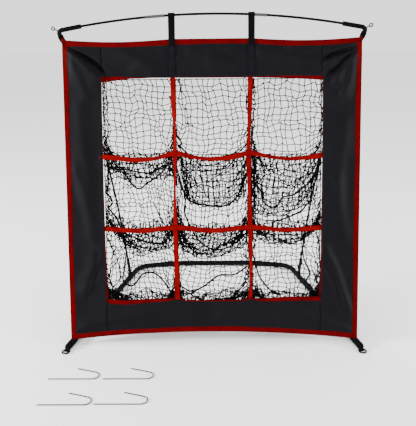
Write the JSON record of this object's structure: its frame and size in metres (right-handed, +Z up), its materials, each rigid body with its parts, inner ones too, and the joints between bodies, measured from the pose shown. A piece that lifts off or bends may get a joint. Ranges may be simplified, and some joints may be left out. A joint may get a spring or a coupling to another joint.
{
  "type": "golf chipping net",
  "caption": "Free-standing practice target: a leaning fabric sheet with a grid of net pockets, stretched by a rod bow on a U-shaped steel floor base, with hooked ground stakes.",
  "frame": {"origin": "on the floor, under the middle of the box round everything that stands or lies there, stakes included; the net's own plane of symmetry is X = 0", "axes": "+X to the right seen from the front, +Y to the back, +Z up; the target sheet faces -Y and leans back"},
  "size_m": [1.3006, 1.2675, 1.3514],
  "materials": {
    "black_steel": "black powder coat, satin",
    "bright_steel": "zinc-plated wire",
    "fibreglass": "smooth black pultruded rod",
    "ferrule": "drawn tube, satin",
    "elbow": "moulded, matt",
    "panel_fabric": "coated woven polyester, slight sheen",
    "red_binding": "folded grosgrain tape, sewn",
    "red_webbing": "flat woven webbing",
    "black_webbing": "flat woven webbing",
    "netting": "knotted polyethylene cord"
  },
  "bodies": {
    "frame": {"base_corner_tube_left": "black_steel", "base_corner_tube_right": "black_steel", "base_leg_left": "black_steel", "base_leg_right": "black_steel", "rear_cross_tube": "black_steel", "pole_socket_left": "black_steel", "pole_socket_right": "black_steel", "elbow_eye_left": "black_steel", "elbow_eye_right": "black_steel", "side_pole_lower_left": "fibreglass", "side_pole_lower_right": "fibreglass", "side_pole_upper_left": "fibreglass", "side_pole_upper_right": "fibreglass", "top_rod_left": "fibreglass", "top_rod_middle": "fibreglass", "top_rod_right": "fibreglass", "side_ferrule_left": "ferrule", "side_ferrule_right": "ferrule", "top_ferrule_left": "ferrule", "top_ferrule_right": "ferrule", "corner_elbow_left": "elbow", "corner_elbow_right": "elbow", "side_panel_left": "panel_fabric", "side_panel_right": "panel_fabric", "top_panel": "panel_fabric", "bottom_panel": "panel_fabric", "outer_binding": "red_binding", "inner_binding": "red_binding", "vertical_webbing_left": "red_webbing", "vertical_webbing_right": "red_webbing", "horizontal_webbing_upper": "red_webbing", "horizontal_webbing_lower": "red_webbing", "hanging_strap_left": "black_webbing", "hanging_strap_right": "black_webbing", "corner_loop_left": "black_webbing", "corner_loop_right": "black_webbing", "foot_sleeve_left": "black_webbing", "foot_sleeve_right": "black_webbing", "net_pocket_top_left": "netting", "net_pocket_top_centre": "netting", "net_pocket_top_right": "netting", "net_pocket_middle_left": "netting", "net_pocket_middle_centre": "netting", "net_pocket_middle_right": "netting", "net_pocket_bottom_left": "netting", "net_pocket_bottom_centre": "netting", "net_pocket_bottom_right": "netting"},
    "foot_ring_left": {"foot_ring_left": "black_steel"},
    "foot_ring_right": {"foot_ring_right": "black_steel"},
    "rear_coupling_button_left": {"rear_coupling_button_left": "bright_steel"},
    "rear_coupling_button_right": {"rear_coupling_button_right": "bright_steel"},
    "leg_coupling_button_left": {"leg_coupling_button_left": "bright_steel"},
    "leg_coupling_button_right": {"leg_coupling_button_right": "bright_steel"},
    "socket_button_left": {"socket_button_left": "bright_steel"},
    "socket_button_right": {"socket_button_right": "bright_steel"},
    "ground_stake_1": {"ground_stake_1": "bright_steel"},
    "ground_stake_2": {"ground_stake_2": "bright_steel"},
    "ground_stake_3": {"ground_stake_3": "bright_steel"},
    "ground_stake_4": {"ground_stake_4": "bright_steel"}
  },
  "joints": [
    {"name": "foot_ring_left_hinge", "type": "hinge", "parent": "frame", "child": "foot_ring_left", "pos_m": [-0.62128, -0.26562, 0.0042], "axis": [-0.9701, 0.2425, 0], "range_deg": [0, 100]},
    {"name": "foot_ring_right_hinge", "type": "hinge", "parent": "frame", "child": "foot_ring_right", "pos_m": [0.62128, -0.26562, 0.0042], "axis": [-0.9701, -0.2425, 0], "range_deg": [0, 100]},
    {"name": "rear_coupling_button_left_press", "type": "slide", "parent": "frame", "child": "rear_coupling_button_left", "axis": [0, 0, -1], "range_m": [0, 0.0025], "stiffness_N_per_m": 1500, "springref_m": -0.002},
    {"name": "rear_coupling_button_right_press", "type": "slide", "parent": "frame", "child": "rear_coupling_button_right", "axis": [0, 0, -1], "range_m": [0, 0.0025], "stiffness_N_per_m": 1500, "springref_m": -0.002},
    {"name": "leg_coupling_button_left_press", "type": "slide", "parent": "frame", "child": "leg_coupling_button_left", "axis": [0, 0, -1], "range_m": [0, 0.0025], "stiffness_N_per_m": 1500, "springref_m": -0.002},
    {"name": "leg_coupling_button_right_press", "type": "slide", "parent": "frame", "child": "leg_coupling_button_right", "axis": [0, 0, -1], "range_m": [0, 0.0025], "stiffness_N_per_m": 1500, "springref_m": -0.002},
    {"name": "socket_button_left_press", "type": "slide", "parent": "frame", "child": "socket_button_left", "axis": [0.9939, 0.0071, 0.1101], "range_m": [0, 0.0025], "stiffness_N_per_m": 1500, "springref_m": -0.002},
    {"name": "socket_button_right_press", "type": "slide", "parent": "frame", "child": "socket_button_right", "axis": [-0.9939, 0.0071, 0.1101], "range_m": [0, 0.0025], "stiffness_N_per_m": 1500, "springref_m": -0.002},
    {"name": "ground_stake_1_lift", "type": "slide", "parent": "frame", "child": "ground_stake_1", "axis": [0, 0, 1], "range_m": [0, 0.2]},
    {"name": "ground_stake_2_lift", "type": "slide", "parent": "frame", "child": "ground_stake_2", "axis": [0, 0, 1], "range_m": [0, 0.2]},
    {"name": "ground_stake_3_lift", "type": "slide", "parent": "frame", "child": "ground_stake_3", "axis": [0, 0, 1], "range_m": [0, 0.2]},
    {"name": "ground_stake_4_lift", "type": "slide", "parent": "frame", "child": "ground_stake_4", "axis": [0, 0, 1], "range_m": [0, 0.2]}
  ]
}
